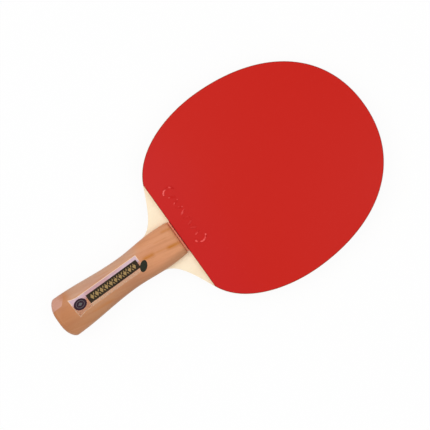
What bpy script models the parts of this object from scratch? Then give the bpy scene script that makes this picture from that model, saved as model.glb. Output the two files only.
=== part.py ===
"""Table tennis racket: a five-ply blade with a flared handle and a rubber on each face.

The racket lies flat with its front (red) face up. Its length runs along +Y from the
middle of the butt end, its width along X, and Z = 0 is the middle of the blade's
thickness. All sizes are in metres.
"""

import math

import bmesh
import bpy
from mathutils import Matrix, Vector
from mathutils.geometry import interpolate_bezier

# Blade plies, from the core outwards, and the glue between two pieces
CORE_PLY = 0.0032
CROSS_PLY = 0.0005
FACE_PLY = 0.0007
GLUE_LINE = 0.0001

# Head outline: an egg that is widest above its middle, cut straight at two shoulders
GRIP_TO_RUBBER = 0.0014
RUBBER_LENGTH = 0.1598
HEAD_WIDTH = 0.1500
WIDEST_RISE = 0.0672
SHOULDER_WIDTH = 0.0868
SHOULDER_ANGLE = math.radians(24.0)
THROAT_DROP = 0.0232

# How far each curve of the outline keeps to the direction at its end
TOP_REACH = 0.0480
SIDE_REACH_UP = 0.0537
SIDE_REACH_DOWN = 0.0276
CORNER_REACH = 0.0234
THROAT_REACH = 0.0185
NECK_REACH = 0.0100
HEAD_STEPS = 18
THROAT_STEPS = 12

# Handle outline: flared at the butt, drawn in at the waist, full at the neck
HANDLE_LENGTH = 0.1020
BUTT_WIDTH = 0.0307
WAIST_WIDTH = 0.0245
NECK_WIDTH = 0.0277
WAIST_Y = 0.0585
BUTT_CORNER_LENGTH = 0.0060
BUTT_CORNER_WIDTH = 0.0100
NECK_CORNER_LENGTH = 0.0150
NECK_CORNER_WIDTH = 0.0013

# Handle scales: their height over the blade, their end bevels and their crown
BUTT_HEIGHT = 0.0092
WAIST_HEIGHT = 0.0083
NECK_HEIGHT = 0.0087
BUTT_BEVEL_LENGTH = 0.0030
BUTT_BEVEL_HEIGHT = 0.0022
NECK_BEVEL_LENGTH = 0.0034
NECK_BEVEL_HEIGHT = 0.0030
SIDE_WALL = 0.0016
CROWN_POWER = 2.7
CROWN_STEPS = 16
END_STEPS = 6
GRIP_STEPS = 9

# Rubbers: a sponge, and a topsheet whose pips stand on it
RUBBER_TRIM = 0.0003
SPONGE_THICKNESS = 0.0018
SHEET_THICKNESS = 0.0010
PIP_HEIGHT = 0.0009
PIP_DIAMETER = 0.0017
PIP_TIP_DIAMETER = 0.0015
PIP_SPACING = 0.0032
PIP_EDGE_MARGIN = 0.0002
PIP_SIDES = 6
PIP_ROOT = 0.0003
PIP_FIELD_GAP = 0.0006

# Places along the racket, from the butt end
SHOULDER_Y = HANDLE_LENGTH + GRIP_TO_RUBBER
THROAT_Y = SHOULDER_Y - THROAT_DROP
WIDEST_Y = SHOULDER_Y + WIDEST_RISE
HEAD_TOP_Y = SHOULDER_Y + RUBBER_LENGTH

# Heights above the middle of the blade
CORE_TOP = CORE_PLY / 2
CROSS_BOTTOM = CORE_TOP + GLUE_LINE
FACE_BOTTOM = CROSS_BOTTOM + CROSS_PLY + GLUE_LINE
SPONGE_BOTTOM = FACE_BOTTOM + FACE_PLY + GLUE_LINE
SCALE_BOTTOM = SPONGE_BOTTOM
PIP_BOTTOM = SPONGE_BOTTOM + SPONGE_THICKNESS + GLUE_LINE
SHEET_BOTTOM = PIP_BOTTOM + PIP_HEIGHT

# Which face of the blade a piece is on
FRONT = 1
BACK = -1


def clear_scene():
    """Remove every object that the scene starts with."""
    for item in list(bpy.data.objects):
        bpy.data.objects.remove(item, do_unlink=True)


def new_collection(name):
    """Return a new collection that is linked to the scene."""
    collection = bpy.data.collections.new(name)
    bpy.context.scene.collection.children.link(collection)
    return collection


def linear(channel):
    """Return the linear value of a screen colour's channel of 0 to 255."""
    value = channel / 255
    return value / 12.92 if value <= 0.04045 else ((value + 0.055) / 1.055) ** 2.4


def material(name, screen_colour, roughness):
    """Return a Principled material of a screen colour and a roughness."""
    mat = bpy.data.materials.new(name)
    mat.use_nodes = True
    shader = mat.node_tree.nodes["Principled BSDF"]
    shader.inputs["Base Color"].default_value = [linear(c) for c in screen_colour] + [1.0]
    shader.inputs["Roughness"].default_value = roughness
    shader.inputs["Metallic"].default_value = 0.0
    return mat


# Handle sizes

def ease(start, end, share):
    """Return a value that leaves start and meets end level, at a share of the way."""
    share = min(max(share, 0.0), 1.0)
    return start + (end - start) * (1 - math.cos(math.pi * share)) / 2


def along_handle(butt, waist, neck, y):
    """Return a handle size at y that eases from the butt to the waist and the neck."""
    if y <= WAIST_Y:
        return ease(butt, waist, (y - BUTT_CORNER_LENGTH) / (WAIST_Y - BUTT_CORNER_LENGTH))
    neck_y = HANDLE_LENGTH - NECK_CORNER_LENGTH
    return ease(waist, neck, (y - WAIST_Y) / (neck_y - WAIST_Y))


def end_round(distance, length, depth):
    """Return how far a quarter ellipse draws a size in, at a distance from an end."""
    share = 1 - distance / length
    if share <= 0:
        return 0.0
    return depth * (1 - math.sqrt(max(1 - share ** 2, 0.0)))


def handle_half_width(y):
    """Return half the handle's width at y, for its scales and for the tang in it."""
    half = along_handle(BUTT_WIDTH, WAIST_WIDTH, NECK_WIDTH, y) / 2
    half -= end_round(y, BUTT_CORNER_LENGTH, BUTT_CORNER_WIDTH)
    return half - end_round(HANDLE_LENGTH - y, NECK_CORNER_LENGTH, NECK_CORNER_WIDTH)


def scale_height(y):
    """Return the height of a handle scale's crown over the blade at y."""
    height = along_handle(BUTT_HEIGHT, WAIST_HEIGHT, NECK_HEIGHT, y)
    height -= end_round(y, BUTT_BEVEL_LENGTH, BUTT_BEVEL_HEIGHT)
    return height - end_round(HANDLE_LENGTH - y, NECK_BEVEL_LENGTH, NECK_BEVEL_HEIGHT)


def handle_stations():
    """Return the places along the handle where its sections lie, closer at the ends."""
    turns = [1 - math.cos(math.pi / 2 * i / END_STEPS) for i in range(END_STEPS + 1)]
    butt = [BUTT_CORNER_LENGTH * turn for turn in turns]
    neck = [HANDLE_LENGTH - NECK_CORNER_LENGTH * turn for turn in reversed(turns)]
    step = (neck[0] - butt[-1]) / GRIP_STEPS
    grip = [butt[-1] + step * i for i in range(1, GRIP_STEPS)]
    return butt + grip + neck


# Outlines, each from a right half that ends on the racket's middle line at the top

def bezier(start, start_arm, end_arm, end, steps):
    """Return points from start to end on a curve that leaves and arrives along the arms."""
    curve = interpolate_bezier(start, start + start_arm, end + end_arm, end, steps + 1)
    return [point.to_2d() for point in curve]


def shoulder():
    """Return the corner where the rubber's cut meets the head's side, and the side's way."""
    corner = Vector((SHOULDER_WIDTH / 2, SHOULDER_Y))
    return corner, Vector((math.cos(SHOULDER_ANGLE), math.sin(SHOULDER_ANGLE)))


def head_half():
    """Return the head's right side from the shoulder over the widest place to the top."""
    corner, way = shoulder()
    widest = Vector((HEAD_WIDTH / 2, WIDEST_Y))
    top = Vector((0.0, HEAD_TOP_Y))
    down = Vector((0.0, -SIDE_REACH_DOWN))
    up = Vector((0.0, SIDE_REACH_UP))
    lower = bezier(corner, way * CORNER_REACH, down, widest, HEAD_STEPS)
    upper = bezier(widest, up, Vector((TOP_REACH, 0.0)), top, HEAD_STEPS)
    return lower + upper[1:]


def tang_half():
    """Return the blade's right side from the butt up the handle and through the throat."""
    corner, way = shoulder()
    tang = [Vector((handle_half_width(y), y)) for y in handle_stations() if y < THROAT_Y]
    throat = Vector((handle_half_width(THROAT_Y), THROAT_Y))
    neck_arm = (throat - tang[-1]).normalized() * NECK_REACH
    curve = bezier(throat, neck_arm, way * -THROAT_REACH, corner, THROAT_STEPS)
    return tang + curve[:-1]


def both_sides(half):
    """Return a closed counterclockwise outline from its right half."""
    left = [Vector((-point.x, point.y)) for point in reversed(half[:-1])]
    return half + left


def blade_outline():
    """Return the outline that every ply of the blade is cut to."""
    return both_sides(tang_half() + head_half())


def rubber_outline():
    """Return the outline of a rubber, trimmed a little inside the blade's edge."""
    return inset(both_sides(head_half()), RUBBER_TRIM)


def inset(outline, distance):
    """Return an outline, which runs counterclockwise, drawn in by a distance."""
    drawn_in = []
    for before, point, after in zip(outline[-1:] + outline[:-1], outline, outline[1:] + outline[:1]):
        along_before = (point - before).normalized()
        along_after = (after - point).normalized()
        inward = (along_before + along_after).normalized().orthogonal()
        stretch = inward.dot(along_before.orthogonal())
        drawn_in.append(point + inward * distance / stretch)
    return drawn_in


def evenly_spaced(outline, spacing):
    """Return places on an outline about one spacing apart, equal all the way round."""
    edges = list(zip(outline, outline[1:] + outline[:1]))
    total = sum((end - start).length for start, end in edges)
    count = round(total / spacing)
    places = []
    passed = 0.0
    for start, end in edges:
        length = (end - start).length
        while len(places) < count and len(places) * total / count < passed + length:
            share = (len(places) * total / count - passed) / length
            places.append(start.lerp(end, share))
        passed += length
    return places


# Shapes

def flat_curve(name, outline, thickness, middle_z, collection):
    """Return a 2D curve object of an outline, filled and as thick as a sheet."""
    curve = bpy.data.curves.new(name, "CURVE")
    curve.dimensions = "2D"
    curve.fill_mode = "BOTH"
    curve.extrude = thickness / 2
    spline = curve.splines.new("POLY")
    spline.points.add(len(outline) - 1)
    for point, place in zip(spline.points, outline):
        point.co = (place.x, place.y, 0.0, 1.0)
    spline.use_cyclic_u = True
    obj = bpy.data.objects.new(name, curve)
    obj.location.z = middle_z
    collection.objects.link(obj)
    return obj


def as_mesh(obj, collection):
    """Return a mesh object in place of a curve object, its caps welded to its sides."""
    bpy.context.view_layer.update()
    depsgraph = bpy.context.evaluated_depsgraph_get()
    mesh = bpy.data.meshes.new_from_object(obj.evaluated_get(depsgraph))
    bm = bmesh.new()
    bm.from_mesh(mesh)
    bmesh.ops.remove_doubles(bm, verts=bm.verts, dist=0.000001)
    bm.to_mesh(mesh)
    bm.free()
    name = obj.name
    matrix = obj.matrix_world.copy()
    bpy.data.objects.remove(obj, do_unlink=True)
    welded = bpy.data.objects.new(name, mesh)
    welded.matrix_world = matrix
    collection.objects.link(welded)
    return welded


def mesh_object(name, bm, collection):
    """Return a new object of a bmesh, shaded smooth up to its sharp edges."""
    bmesh.ops.recalc_face_normals(bm, faces=bm.faces)
    mesh = bpy.data.meshes.new(name)
    bm.to_mesh(mesh)
    bm.free()
    mesh.shade_smooth()
    mesh.set_sharp_from_angle(angle=math.radians(35))
    obj = bpy.data.objects.new(name, mesh)
    collection.objects.link(obj)
    return obj


def loft(sections):
    """Return a bmesh skinned over closed sections of as many points, with flat ends."""
    bm = bmesh.new()
    rings = [[bm.verts.new(point) for point in section] for section in sections]
    for ring, following in zip(rings, rings[1:]):
        for i in range(len(ring)):
            bm.faces.new((ring[i - 1], ring[i], following[i], following[i - 1]))
    bm.faces.new(rings[0])
    bm.faces.new(rings[-1])
    return bm


def fuse(obj, helper):
    """Join a helper's solid to an object and keep the helper as a hidden guide."""
    helper.hide_render = True
    helper.display_type = "WIRE"
    modifier = obj.modifiers.new(helper.name, "BOOLEAN")
    modifier.operation = "UNION"
    modifier.solver = "EXACT"
    modifier.object = helper


# Sub-parts

def build_ply(name, thickness, middle_z, mat, collection):
    """Build one veneer of the blade."""
    ply = flat_curve(name, blade_outline(), thickness, middle_z, collection)
    ply.data.materials.append(mat)


def crown_section(y):
    """Return a handle scale's section at y: a flat foot, short walls and a full crown."""
    half = handle_half_width(y)
    rise = scale_height(y) - SIDE_WALL
    section = [Vector((half, y, 0.0))]
    for i in range(CROWN_STEPS + 1):
        angle = math.pi * i / CROWN_STEPS
        across = math.copysign(abs(math.cos(angle)) ** (2 / CROWN_POWER), math.cos(angle))
        up = max(math.sin(angle), 0.0) ** (2 / CROWN_POWER)
        section.append(Vector((half * across, y, SIDE_WALL + rise * up)))
    section.append(Vector((-half, y, 0.0)))
    return section


def build_handle_scale(name, side, mat, collection):
    """Build one half of the grip, its flat foot on a face of the blade."""
    scale = mesh_object(name, loft([crown_section(y) for y in handle_stations()]), collection)
    scale.data.materials.append(mat)
    scale.location.z = side * SCALE_BOTTOM
    scale.rotation_euler.y = 0.0 if side == FRONT else math.pi


def build_sponge(name, side, mat, collection):
    """Build the cellular layer between the blade and a topsheet."""
    middle_z = side * (SPONGE_BOTTOM + SPONGE_THICKNESS / 2)
    sponge = flat_curve(name, rubber_outline(), SPONGE_THICKNESS, middle_z, collection)
    sponge.data.materials.append(mat)


def rim_pips(name, guides):
    """Return the row of pips that shows round a topsheet's edge, as one guide."""
    row = inset(rubber_outline(), PIP_EDGE_MARGIN + PIP_DIAMETER / 2)
    height = PIP_HEIGHT + PIP_ROOT
    bm = bmesh.new()
    for place in evenly_spaced(row, PIP_SPACING):
        bmesh.ops.create_cone(
            bm,
            cap_ends=True,
            segments=PIP_SIDES,
            radius1=PIP_TIP_DIAMETER / 2,
            radius2=PIP_DIAMETER / 2,
            depth=height,
            matrix=Matrix.Translation((place.x, place.y, PIP_BOTTOM + height / 2)),
        )
    return mesh_object(name, bm, guides)


def inner_field(name, guides):
    """Return the hidden field of pips inside the rim's row as one solid guide."""
    margin = PIP_EDGE_MARGIN + PIP_DIAMETER + PIP_FIELD_GAP
    thickness = PIP_HEIGHT + PIP_ROOT
    outline = inset(rubber_outline(), margin)
    field = flat_curve(name, outline, thickness, PIP_BOTTOM + thickness / 2, guides)
    return as_mesh(field, guides)


def build_topsheet(name, side, mat, collection, guides):
    """Build a smooth rubber sheet with its pips turned in towards the sponge."""
    middle_z = SHEET_BOTTOM + SHEET_THICKNESS / 2
    sheet = flat_curve(name, rubber_outline(), SHEET_THICKNESS, middle_z, collection)
    sheet = as_mesh(sheet, collection)
    sheet.data.materials.append(mat)
    turned = Matrix.Rotation(0.0 if side == FRONT else math.pi, 4, "Y")
    for helper in (inner_field(name + "_field", guides), rim_pips(name + "_pips", guides)):
        helper.matrix_world = turned @ helper.matrix_world
        fuse(sheet, helper)
    sheet.matrix_world = turned @ sheet.matrix_world


def build_blade(collection):
    """Build the five veneers: a core, a cross ply and a face ply on each side."""
    core_wood = material("core_wood", (226, 200, 158), 0.6)
    cross_wood = material("cross_wood", (205, 170, 120), 0.6)
    face_wood = material("face_wood", (245, 230, 200), 0.5)
    build_ply("blade_core_ply", CORE_PLY, 0.0, core_wood, collection)
    for word, side in (("front", FRONT), ("back", BACK)):
        cross_z = side * (CROSS_BOTTOM + CROSS_PLY / 2)
        face_z = side * (FACE_BOTTOM + FACE_PLY / 2)
        build_ply(f"blade_{word}_cross_ply", CROSS_PLY, cross_z, cross_wood, collection)
        build_ply(f"blade_{word}_face_ply", FACE_PLY, face_z, face_wood, collection)


def main():
    """Build the racket."""
    clear_scene()
    parts = new_collection("table_tennis_racket")
    guides = new_collection("guides")
    build_blade(parts)
    grip_wood = material("grip_wood", (205, 145, 110), 0.45)
    sponge_foam = material("sponge_foam", (232, 198, 140), 0.9)
    red_rubber = material("red_rubber", (198, 41, 35), 0.4)
    black_rubber = material("black_rubber", (26, 26, 28), 0.4)
    for word, side, rubber in (("front", FRONT, red_rubber), ("back", BACK, black_rubber)):
        build_handle_scale(f"handle_{word}_scale", side, grip_wood, parts)
        build_sponge(f"{word}_sponge", side, sponge_foam, parts)
        build_topsheet(f"{word}_topsheet", side, rubber, parts, guides)


if __name__ == "__main__":
    main()
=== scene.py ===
"""Finish of a table tennis racket: plywood blade, wooden grip, rubbers and printed film.

The racket lies on its black face, its butt end at the origin and its length along +Y.
Sizes are in metres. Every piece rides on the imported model, which gives the places that
the pieces take.
"""

import logging
import math
from dataclasses import dataclass
from enum import Enum
from typing import Any

import bmesh
import bpy
from mathutils import Matrix, Vector
from mathutils.kdtree import KDTree


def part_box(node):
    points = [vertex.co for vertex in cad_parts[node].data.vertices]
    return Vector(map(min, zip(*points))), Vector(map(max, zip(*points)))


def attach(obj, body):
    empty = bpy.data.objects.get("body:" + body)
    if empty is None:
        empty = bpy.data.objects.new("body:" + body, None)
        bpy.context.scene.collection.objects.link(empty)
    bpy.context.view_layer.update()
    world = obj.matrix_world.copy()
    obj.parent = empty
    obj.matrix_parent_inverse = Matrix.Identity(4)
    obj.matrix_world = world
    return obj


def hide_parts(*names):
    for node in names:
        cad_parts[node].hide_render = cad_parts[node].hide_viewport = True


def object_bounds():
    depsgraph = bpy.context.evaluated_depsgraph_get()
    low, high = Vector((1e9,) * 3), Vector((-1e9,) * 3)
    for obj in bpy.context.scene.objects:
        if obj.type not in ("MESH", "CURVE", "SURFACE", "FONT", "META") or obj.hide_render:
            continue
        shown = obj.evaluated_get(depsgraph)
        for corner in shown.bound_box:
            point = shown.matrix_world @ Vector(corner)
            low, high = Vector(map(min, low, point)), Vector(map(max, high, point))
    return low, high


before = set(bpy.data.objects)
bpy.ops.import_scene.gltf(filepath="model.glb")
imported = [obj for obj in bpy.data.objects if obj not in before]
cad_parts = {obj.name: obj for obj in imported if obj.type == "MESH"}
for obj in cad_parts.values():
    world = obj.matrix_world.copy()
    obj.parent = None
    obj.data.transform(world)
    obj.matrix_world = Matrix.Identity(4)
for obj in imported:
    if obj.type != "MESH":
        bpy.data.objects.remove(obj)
CAD_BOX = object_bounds()
SCALE_LOW, SCALE_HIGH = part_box("handle_front_scale")
BLADE_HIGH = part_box("blade_core_ply")[1]
SHEET_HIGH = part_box("front_topsheet")[1]

LOG = logging.getLogger("racket")
BODY = "root"
FILM_MAP = "film"
WHITE = (1.0, 1.0, 1.0, 1.0)
PORE_STEP = (0.66, 0.74)

# Points closer than MERGE are one point, edges that turn less than STRAIGHT are one edge,
# and faces that turn less than SMOOTH_ANGLE are shaded as one surface.
MERGE = 0.000001
STRAIGHT = math.radians(0.05)
SMOOTH_ANGLE = math.radians(35)

Colour = tuple[float, float, float]
Place = tuple[float, float]
Point = tuple[float, float, float]
Step = tuple[float, float]
Knot = tuple[Vector, Vector, Vector]


class Face(Enum):
    """The two faces of the racket, with the way that each looks along Z."""

    FRONT = 1
    BACK = -1

    @property
    def word(self) -> str:
        """Return the face's name as the nodes spell it."""
        return self.name.lower()


class Grain(Enum):
    """Which way the grain of a veneer runs, as a turn about Z."""

    ALONG = 0.0
    ACROSS = math.pi / 2


@dataclass(frozen=True)
class Clouds:
    """A noise: how many clouds lie in a metre across and along a piece, and how fine it is."""

    across: float
    along: float
    detail: float = 2.0
    roughness: float = 0.5


@dataclass(frozen=True)
class Tint:
    """A colour that is laid over another, and how much of it shows where its mask is 1."""

    colour: Colour
    share: float = 1.0


NO_TINT = Tint((0.0, 0.0, 0.0), 0.0)


# Shader recipes

class Signal:
    """A shader value that Python expressions work on by adding Math nodes."""

    def __init__(self, recipe: "Recipe", socket: bpy.types.NodeSocket) -> None:
        """Wrap a socket.

        Args:
            recipe: The recipe that the socket's node is part of.
            socket: The output that carries the value.
        """
        self.recipe = recipe
        self.socket = socket

    def __add__(self, other: "Signal | float") -> "Signal":
        """Return self + other."""
        return self.recipe.maths("ADD", self, other)

    def __sub__(self, other: "Signal | float") -> "Signal":
        """Return self - other."""
        return self.recipe.maths("SUBTRACT", self, other)

    def __rsub__(self, other: float) -> "Signal":
        """Return other - self."""
        return self.recipe.maths("SUBTRACT", other, self)

    def __mul__(self, other: "Signal | float") -> "Signal":
        """Return self * other."""
        return self.recipe.maths("MULTIPLY", self, other)

    def __truediv__(self, other: "Signal | float") -> "Signal":
        """Return self / other."""
        return self.recipe.maths("DIVIDE", self, other)

    def __pow__(self, other: float) -> "Signal":
        """Return self to the power of other."""
        return self.recipe.maths("POWER", self, other)

    __radd__ = __add__
    __rmul__ = __mul__

    def wave(self) -> "Signal":
        """Return a wave between 0 and 1 that repeats each time self grows by 1."""
        return 0.5 + 0.5 * self.recipe.maths("SINE", math.tau * self)

    def limited(self) -> "Signal":
        """Return self kept between 0 and 1."""
        return self.least(1.0).most(0.0)

    def least(self, other: "Signal | float") -> "Signal":
        """Return the lesser of self and other."""
        return self.recipe.maths("MINIMUM", self, other)

    def most(self, other: "Signal | float") -> "Signal":
        """Return the greater of self and other."""
        return self.recipe.maths("MAXIMUM", self, other)

    def step(self, low: float, high: float) -> "Signal":
        """Return a smooth step of self.

        Args:
            low: The value at which the step is 0.
            high: The value at which the step is 1, which may be under low.

        Returns:
            The step, from 0 to 1.
        """
        if low > high:
            return 1 - self.step(high, low)
        settings = {"interpolation_type": "SMOOTHSTEP"}
        inputs = {"Value": self, "From Min": low, "From Max": high}
        return self.recipe.node("ShaderNodeMapRange", settings, inputs)


class Recipe:
    """A node tree, and the one method that adds a node to it."""

    def __init__(self, tree: bpy.types.NodeTree) -> None:
        """Work on a node tree.

        Args:
            tree: The tree of a material or a world.
        """
        self.tree = tree

    def node(
        self,
        kind: str,
        settings: dict[str, Any] | None = None,
        inputs: dict[str, Any] | None = None,
        output: str | None = None,
    ) -> Signal:
        """Add a node.

        Args:
            kind: The node's type.
            settings: Its settings by name.
            inputs: Values or signals, by the identifier of the input that each goes to.
            output: The identifier of the output to return, or the first one.

        Returns:
            The chosen output.
        """
        made = self.tree.nodes.new(kind)
        for key, value in (settings or {}).items():
            setattr(made, key, value)
        for key, value in (inputs or {}).items():
            self.feed(made, key, value)
        if output is None:
            return Signal(self, made.outputs[0])
        return Signal(self, next(s for s in made.outputs if s.identifier == output))

    def feed(self, made: bpy.types.Node, key: str, value: Any) -> None:
        """Set or link one input of a node.

        Args:
            made: The node.
            key: The identifier of its input.
            value: A signal to link, or a value to set.
        """
        socket = next(s for s in made.inputs if s.identifier == key)
        if isinstance(value, Signal):
            self.tree.links.new(value.socket, socket)
        else:
            socket.default_value = value

    def maths(self, operation: str, *values: Signal | float) -> Signal:
        """Add a Math node.

        Args:
            operation: The Math node's operation.
            values: The node's inputs, in order.

        Returns:
            The node's result.
        """
        inputs = dict(zip(("Value", "Value_001"), values))
        return self.node("ShaderNodeMath", {"operation": operation}, inputs)

    def looking(self) -> Signal:
        """Return 1 where a ray looks at the background or at its mirror image, or else 0."""
        kinds = ("Is Camera Ray", "Is Glossy Ray", "Is Transmission Ray")
        camera, glossy, clear = (self.node("ShaderNodeLightPath", output=kind) for kind in kinds)
        return (camera + glossy + clear).limited()


class Coating(Recipe):
    """The recipe of a Principled material."""

    def __init__(self, name: str) -> None:
        """Start a material.

        Args:
            name: The material's name.
        """
        self.material = bpy.data.materials.new(name)
        self.material.use_nodes = True
        super().__init__(self.material.node_tree)
        self.shader = self.tree.nodes["Principled BSDF"]

    def coordinates(self, turn: float = 0.0, centre: Point = (0.0, 0.0, 0.0)) -> Signal:
        """Return the piece's own coordinates.

        Args:
            turn: How far they are turned about Z.
            centre: The point that they are counted from.

        Returns:
            The coordinates, in metres.
        """
        own = self.node("ShaderNodeTexCoord", output="Object")
        settings = {"vector_type": "TEXTURE"}
        inputs = {"Vector": own, "Location": centre, "Rotation": (0.0, 0.0, turn)}
        return self.node("ShaderNodeMapping", settings, inputs)

    def axis(self, coordinates: Signal, name: str) -> Signal:
        """Return one axis of coordinates.

        Args:
            coordinates: The coordinates.
            name: The axis: X, Y or Z.

        Returns:
            The place along that axis.
        """
        return self.node("ShaderNodeSeparateXYZ", inputs={"Vector": coordinates}, output=name)

    def stretched(self, coordinates: Signal, scale: Point) -> Signal:
        """Return coordinates stretched for a pattern.

        Args:
            coordinates: The coordinates.
            scale: How many features of the pattern lie in a metre along each axis.

        Returns:
            The stretched coordinates.
        """
        settings = {"operation": "MULTIPLY"}
        inputs = {"Vector": coordinates, "Vector_001": scale}
        return self.node("ShaderNodeVectorMath", settings, inputs)

    def noise(self, coordinates: Signal, clouds: Clouds) -> Signal:
        """Return cloudy noise about 0.5.

        Args:
            coordinates: The coordinates that it lies on.
            clouds: Its size and how fine it is.

        Returns:
            The noise.
        """
        scale = (clouds.across, clouds.along, clouds.across)
        inputs = {
            "Vector": self.stretched(coordinates, scale),
            "Scale": 1.0,
            "Detail": clouds.detail,
            "Roughness": clouds.roughness,
        }
        return self.node("ShaderNodeTexNoise", inputs=inputs)

    def cells(self, coordinates: Signal, per_metre: float) -> Signal:
        """Return a pattern of round cells.

        Args:
            coordinates: The coordinates that it lies on.
            per_metre: How many cells lie in a metre.

        Returns:
            The distance from a cell's middle, in cells.
        """
        scaled = self.stretched(coordinates, (per_metre,) * 3)
        return self.node("ShaderNodeTexVoronoi", inputs={"Vector": scaled, "Scale": 1.0})

    def mix(self, mask: Signal | float, start: Signal | Colour, end: Signal | Colour) -> Signal:
        """Return a colour between two others.

        Args:
            mask: 0 for the start and 1 for the end.
            start: The colour at 0.
            end: The colour at 1.

        Returns:
            The mixed colour.
        """
        inputs = {"Factor_Float": mask, "A_Color": rgba(start), "B_Color": rgba(end)}
        settings = {"data_type": "RGBA", "clamp_factor": True}
        return self.node("ShaderNodeMix", settings, inputs, "Result_Color")

    def layered(self, base: Signal | Colour, layers: list[tuple[Signal, Tint]]) -> Signal:
        """Return a colour with tints laid over it.

        Args:
            base: The lowest colour.
            layers: The mask of each tint and the tint, from the lowest up.

        Returns:
            The colour.
        """
        for mask, tint in layers:
            base = self.mix(mask * tint.share, base, tint.colour)
        return base

    def bump(self, height: Signal, depth: float) -> Signal:
        """Return normals that follow a height.

        Args:
            height: The height, from 0 to 1.
            depth: How high 1 is, in metres.

        Returns:
            The normals.
        """
        inputs = {"Height": height, "Distance": depth, "Strength": 1.0}
        return self.node("ShaderNodeBump", inputs=inputs)

    def finish(self, **inputs: Any) -> bpy.types.Material:
        """Feed the shader and return the material.

        Args:
            inputs: Values or signals, by the shader input's name with _ for a space.

        Returns:
            The finished material.
        """
        for key, value in inputs.items():
            self.feed(self.shader, key.replace("_", " "), rgba(value))
        return self.material


def rgba(value: Any) -> Any:
    """Return a colour of three numbers with its alpha, and anything else as it is."""
    return (*value, 1.0) if isinstance(value, tuple) and len(value) == 3 else value


def screen(red: float, green: float, blue: float) -> Colour:
    """Return the linear colour of a screen colour.

    Args:
        red: Red, from 0 to 255.
        green: Green, from 0 to 255.
        blue: Blue, from 0 to 255.

    Returns:
        The linear colour, from 0 to 1.
    """
    shares = (channel / 255 for channel in (red, green, blue))
    return tuple(s / 12.92 if s <= 0.04045 else ((s + 0.055) / 1.055) ** 2.4 for s in shares)


# Finishes

@dataclass(frozen=True)
class Veneer:
    """A sliced or sawn sheet of pale wood."""

    name: str
    pale: Colour
    dark: Colour
    grain: Grain
    bands: Clouds = Clouds(1 / 0.006, 6.0, 3.0)
    band_share: float = 0.6
    fibres: Clouds = Clouds(2500.0, 60.0, 3.0, 0.7)
    pores: Clouds = Clouds(1800.0, 160.0, 1.0)
    pore_share: float = 0.3
    pore_depth: float = 0.4
    tone_step: Step = (0.34, 0.70)
    roughness: float = 0.42
    roughness_spread: float = 0.16
    relief: float = 0.00004

    def make(self) -> bpy.types.Material:
        """Return the material: broad bands, fine fibres and short dark pores."""
        recipe = Coating(self.name)
        lie = recipe.coordinates(turn=self.grain.value)
        bands, fibres = recipe.noise(lie, self.bands), recipe.noise(lie, self.fibres)
        pores = recipe.noise(lie, self.pores).step(*PORE_STEP)
        tone = (self.band_share * bands + (1 - self.band_share) * fibres).step(*self.tone_step)
        tone = (1 - self.pore_share) * tone + self.pore_share * pores
        relief = (1 - self.pore_depth) * fibres - self.pore_depth * pores
        return recipe.finish(
            Base_Color=recipe.mix(tone, self.pale, self.dark),
            Roughness=self.roughness + self.roughness_spread * fibres,
            Normal=recipe.bump(relief, self.relief),
            Specular_IOR_Level=0.35,
        )


@dataclass(frozen=True)
class Streak:
    """One darker growth line of the grip's wood, between two places on its face."""

    start: Place
    end: Place
    width: float
    strength: float
    sway_share: float = 0.2
    ragged: Clouds = Clouds(900.0, 70.0)
    fade_in: Step = (-0.15, 0.25)
    fade_out: Step = (1.15, 0.80)

    def mask(self, recipe: Coating, sway: Signal) -> Signal:
        """Return the streak's mask.

        Args:
            recipe: The wood's recipe.
            sway: How far the grain wanders sideways, in metres.

        Returns:
            The mask, highest along the streak's middle and fading at its ends.
        """
        way = Vector(self.end) - Vector(self.start)
        lie = recipe.coordinates(turn=-math.atan2(way.x, way.y), centre=(*self.start, 0.0))
        across = (recipe.axis(lie, "X") + self.sway_share * sway) / (self.width / 2)
        along = recipe.axis(lie, "Y") / way.length
        bell = recipe.maths("EXPONENT", -1.0 * across ** 2.0)
        ends = along.step(*self.fade_in) * along.step(*self.fade_out)
        return self.strength * bell * ends * (0.5 + recipe.noise(lie, self.ragged))


@dataclass(frozen=True)
class Facet:
    """A sanded slanting facet at one corner of the grip's butt, by its crease.

    The crease lies at an inset from the middle plane that grows with the distance from
    the butt, and faster past the bend.
    """

    inset: float
    flare: float
    bend_y: float
    bend: float
    crease: float = 0.0004

    def past(self, across: float, y: float) -> float:
        """Return how far a place lies past the crease, towards the grip's side."""
        return across - self.inset - self.flare * y - self.bend * max(y - self.bend_y, 0.0)

    def mask(self, across: Signal, y: Signal) -> Signal:
        """Return a mask that is 1 on the facet and 0 inside its crease.

        Args:
            across: The place across the grip, from its middle towards the facet.
            y: The place along the grip.

        Returns:
            The mask.
        """
        bent = self.bend * (y - self.bend_y).most(0.0)
        return (across - self.inset - self.flare * y - bent).step(0.0, self.crease)


LEFT_FACET = Facet(0.0073, 0.04, 0.0085, 1.0)
RIGHT_FACET = Facet(0.0087, 0.23, 0.0200, 0.3)


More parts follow.
